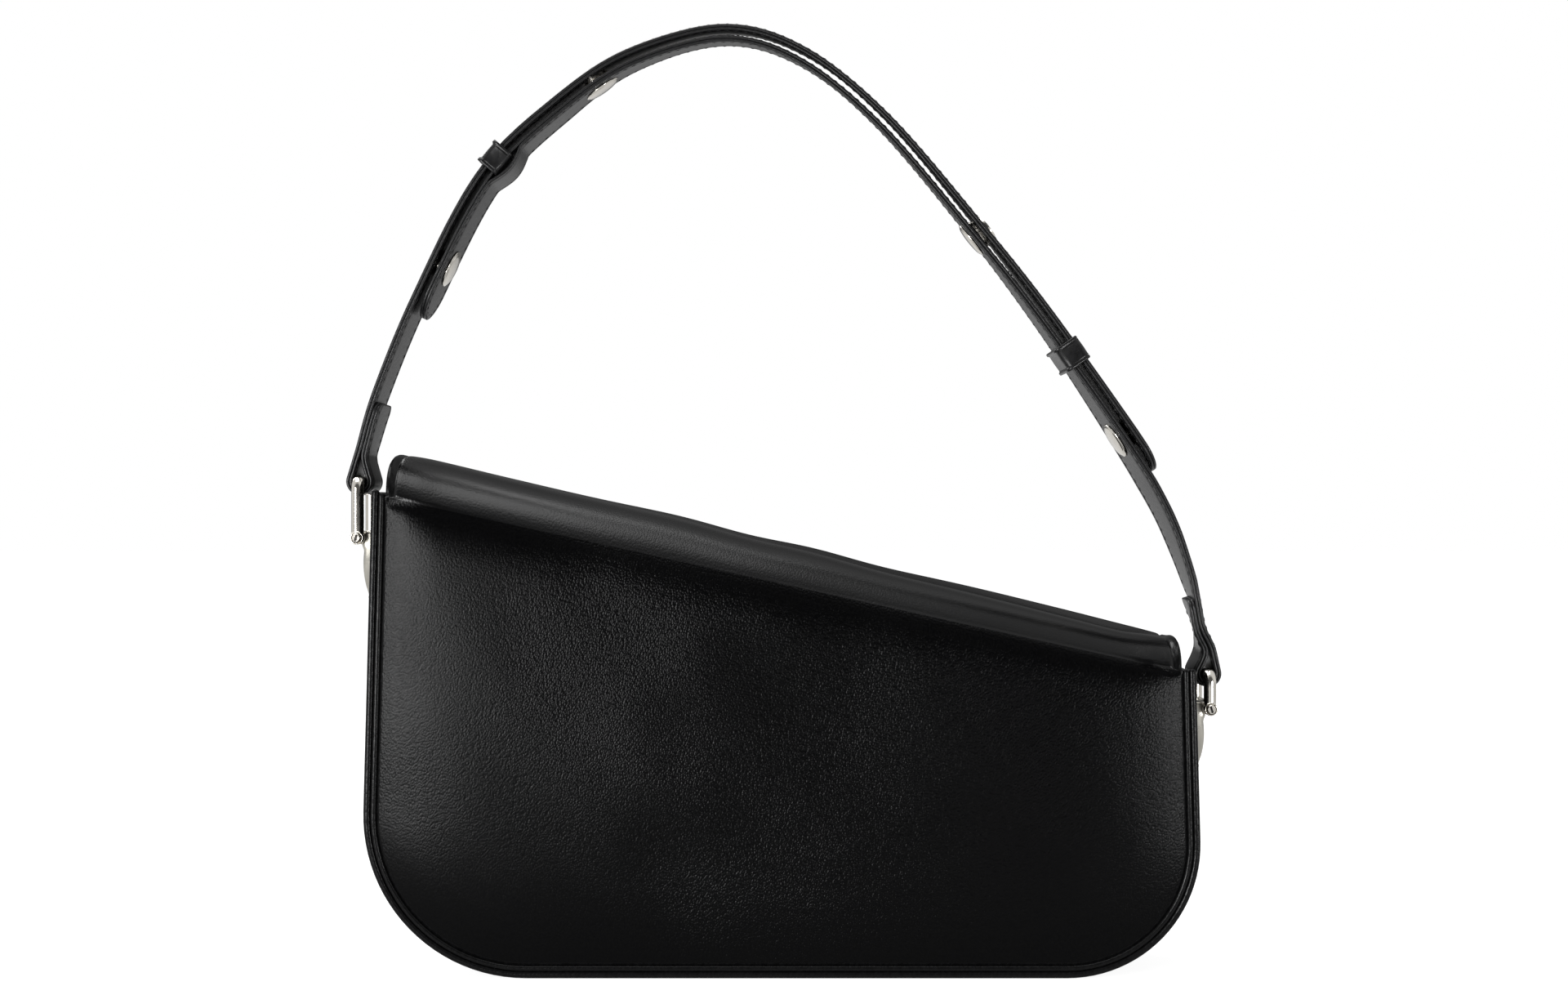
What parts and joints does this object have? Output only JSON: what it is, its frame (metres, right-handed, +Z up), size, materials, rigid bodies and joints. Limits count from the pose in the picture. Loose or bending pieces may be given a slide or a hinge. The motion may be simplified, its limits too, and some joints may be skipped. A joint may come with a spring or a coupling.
{
  "type": "mini shoulder bag",
  "caption": "Small flap shoulder bag in black grained leather with a slanted top, padded rear panel and an adjustable strap on swinging rings.",
  "frame": {"origin": "centre of the flat base, below the middle of the bag's depth", "axes": "+Z up along the bag's height, +X to the lower right side as seen from behind, +Y towards the flap at the front"},
  "size_m": [0.2748, 0.0585, 0.2976],
  "materials": {
    "leather": "soft grained calf, low sheen",
    "leather_edge": "rolled and piped leather edge, slightly glossier",
    "suede": "matte suede-like lining",
    "polished_nickel": "polished pale nickel",
    "steel": "plain inner steel",
    "board": "pressed fibre board"
  },
  "bodies": {
    "bag": {"rear_panel": "leather", "front_panel": "leather", "gusset": "leather", "rear_edging": "leather_edge", "front_edging": "leather_edge", "rear_piping": "leather_edge", "front_piping": "leather_edge", "left_gusset_binding": "leather_edge", "right_gusset_binding": "leather_edge", "lining": "suede", "inner_pocket": "suede", "base_board": "board", "front_magnet": "steel", "left_lug": "polished_nickel", "right_lug": "polished_nickel", "left_backing_plate": "steel", "right_backing_plate": "steel", "left_lug_screws": "steel", "right_lug_screws": "steel", "left_screw": "polished_nickel", "right_screw": "polished_nickel"},
    "flap_top": {"flap_top": "leather", "flap_top_lining": "suede"},
    "flap": {"flap_front": "leather", "flap_lining": "suede", "flap_edging": "leather_edge", "flap_magnet": "steel"},
    "left_ring": {"left_ring": "polished_nickel"},
    "right_ring": {"right_ring": "polished_nickel"},
    "strap": {"outer_strap": "leather", "inner_strap": "leather", "left_keeper": "leather", "right_keeper": "leather", "snap_caps": "polished_nickel", "snap_sockets": "polished_nickel", "snap_studs": "polished_nickel", "snap_posts": "polished_nickel"}
  },
  "joints": [
    {"name": "flap_lift", "type": "hinge", "parent": "bag", "child": "flap_top", "pos_m": [0, -0.028, 0.1214], "axis": [0.9768, 0, -0.2143], "range_deg": [0, 18]},
    {"name": "flap_fold", "type": "hinge", "parent": "flap_top", "child": "flap", "pos_m": [0, 0.0305, 0.1214], "axis": [0.9768, 0, -0.2143], "range_deg": [0, 140]},
    {"name": "left_ring_swing", "type": "hinge", "parent": "bag", "child": "left_ring", "pos_m": [-0.13264, 0, 0.1352], "axis": [0, 1, 0], "range_deg": [-5, 5]},
    {"name": "strap_rock", "type": "hinge", "parent": "left_ring", "child": "strap", "pos_m": [-0.13264, 0, 0.15285], "axis": [0, 1, 0], "range_deg": [-5.5, 5.5]},
    {"name": "right_ring_swing", "type": "hinge", "parent": "bag", "child": "right_ring", "pos_m": [0.1338, 0, 0.08176], "axis": [0, 1, 0], "range_deg": [-9, 9]}
  ],
  "couplings": [
    {"joint": "strap_rock", "follows": "left_ring_swing", "ratio": -1},
    {"joint": "right_ring_swing", "follows": "left_ring_swing", "ratio": 1.6419}
  ]
}
